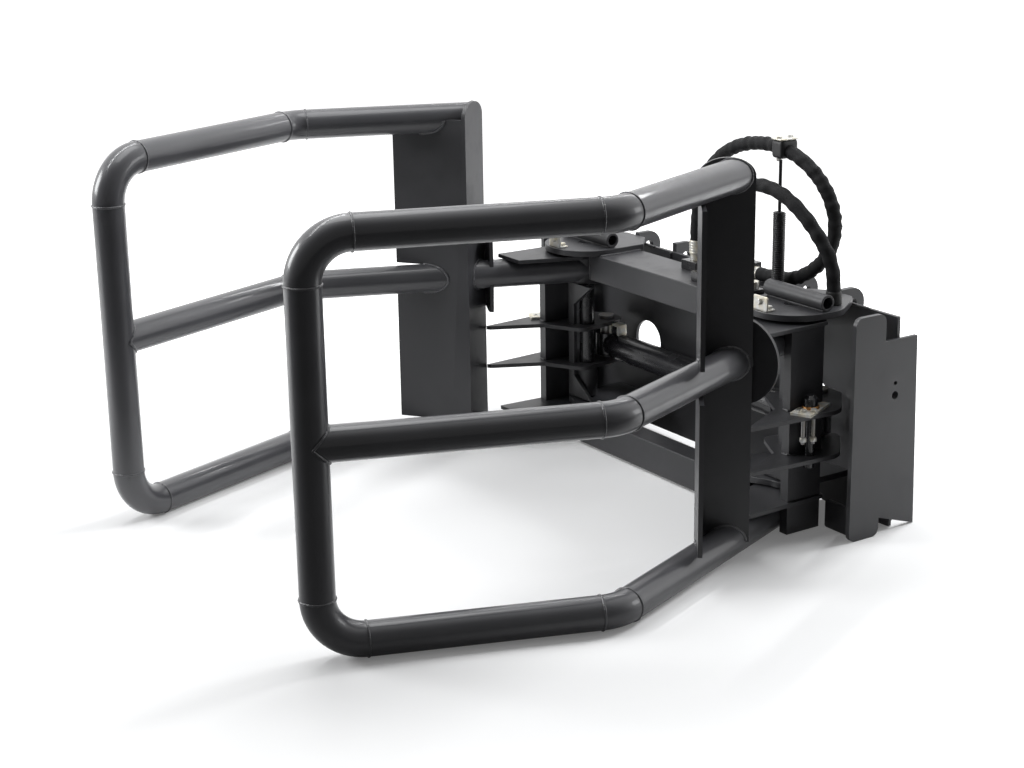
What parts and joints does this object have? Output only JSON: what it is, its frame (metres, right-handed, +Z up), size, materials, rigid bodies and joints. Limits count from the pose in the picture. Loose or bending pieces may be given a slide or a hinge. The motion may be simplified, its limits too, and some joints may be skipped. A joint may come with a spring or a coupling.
{
  "type": "bale grapple",
  "caption": "Hydraulic bale grapple: two bent-pipe arms swing on upright pins in a carrying frame, closed by a cross cylinder behind the pins.",
  "frame": {"origin": "on the floor, under the middle of the whole grapple with the arms as pictured", "axes": "+Z up, the arms reach forward along -Y, +X to the right arm"},
  "size_m": [1.421, 1.5399, 0.9],
  "materials": {
    "grey_paint": "satin charcoal grey paint",
    "grey_plate": "semi-matte charcoal grey paint on plate",
    "zinc_steel": "zinc plated",
    "cylinder_paint": "gloss black paint",
    "rod_chrome": "hard chrome",
    "piston_iron": "machined",
    "hose_cover": "matte black wrapped hose",
    "spring_steel": "black coated spring wire",
    "clamp_plastic": "black moulded clamp"
  },
  "bodies": {
    "frame": {"top_beam": "grey_paint", "low_beam": "grey_paint", "back_plate": "grey_paint", "top_hinge_plate_right": "grey_paint", "top_hinge_plate_left": "grey_paint", "low_hinge_plate_right": "grey_paint", "low_hinge_plate_left": "grey_paint", "end_cheek_right": "grey_paint", "end_cheek_left": "grey_paint", "hitch_plate_right": "grey_paint", "hitch_plate_left": "grey_paint", "hitch_lugs_right": "grey_paint", "hitch_lugs_left": "grey_paint", "guide_tube_right": "grey_paint", "guide_tube_left": "grey_paint", "pivot_pin_right": "zinc_steel", "pivot_pin_left": "zinc_steel", "hose_spring": "spring_steel", "support_rod": "zinc_steel", "hose_clamp": "clamp_plastic", "port_blocks": "grey_paint", "hose_fittings": "zinc_steel", "high_hose": "hose_cover", "low_hose": "hose_cover"},
    "right_arm": {"top_rail_right": "grey_paint", "middle_rail_right": "grey_paint", "bottom_rail_right": "grey_paint", "end_tube_right": "grey_paint", "corner_elbows_right": "grey_paint", "post_right": "grey_plate", "collar_right": "grey_plate", "hinge_gussets_right": "grey_plate", "link_plates_right": "grey_plate", "hinge_bar_right": "grey_plate", "hinge_web_right": "grey_plate", "pivot_hubs_right": "grey_paint", "lock_pin_right": "zinc_steel", "flag_plate_right": "zinc_steel", "lever_pin_right": "zinc_steel"},
    "left_arm": {"top_rail_left": "grey_paint", "middle_rail_left": "grey_paint", "bottom_rail_left": "grey_paint", "end_tube_left": "grey_paint", "corner_elbows_left": "grey_paint", "post_left": "grey_plate", "collar_left": "grey_plate", "hinge_gussets_left": "grey_plate", "link_plates_left": "grey_plate", "hinge_bar_left": "grey_plate", "hinge_web_left": "grey_plate", "pivot_hubs_left": "grey_paint", "lock_pin_left": "zinc_steel", "flag_plate_left": "zinc_steel", "lever_pin_left": "zinc_steel"},
    "cylinder_tube": {"cylinder_barrel": "cylinder_paint", "cylinder_gland": "cylinder_paint"},
    "cylinder_ram": {"cylinder_rod": "rod_chrome", "cylinder_piston": "piston_iron"}
  },
  "joints": [
    {"name": "right_arm_swing", "type": "hinge", "parent": "frame", "child": "right_arm", "pos_m": [0.4017, 0.5425, 0.26], "axis": [0, 0, 1], "range_deg": [-6, 25]},
    {"name": "left_arm_swing", "type": "hinge", "parent": "frame", "child": "left_arm", "pos_m": [-0.4017, 0.5425, 0.26], "axis": [0, 0, 1], "range_deg": [-25, 6]},
    {"name": "barrel_swing", "type": "hinge", "parent": "left_arm", "child": "cylinder_tube", "pos_m": [-0.4176, 0.6175, 0.2315], "axis": [0, 0, 1], "range_deg": [-6, 25]},
    {"name": "rod_slide", "type": "slide", "parent": "cylinder_tube", "child": "cylinder_ram", "axis": [1, 0, 0], "range_m": [-0.067, 0.017]}
  ],
  "couplings": [
    {"joint": "left_arm_swing", "follows": "right_arm_swing", "ratio": -1},
    {"joint": "barrel_swing", "follows": "right_arm_swing", "ratio": 1},
    {"joint": "rod_slide", "follows": "right_arm_swing", "m_per_rad": -0.1511}
  ]
}
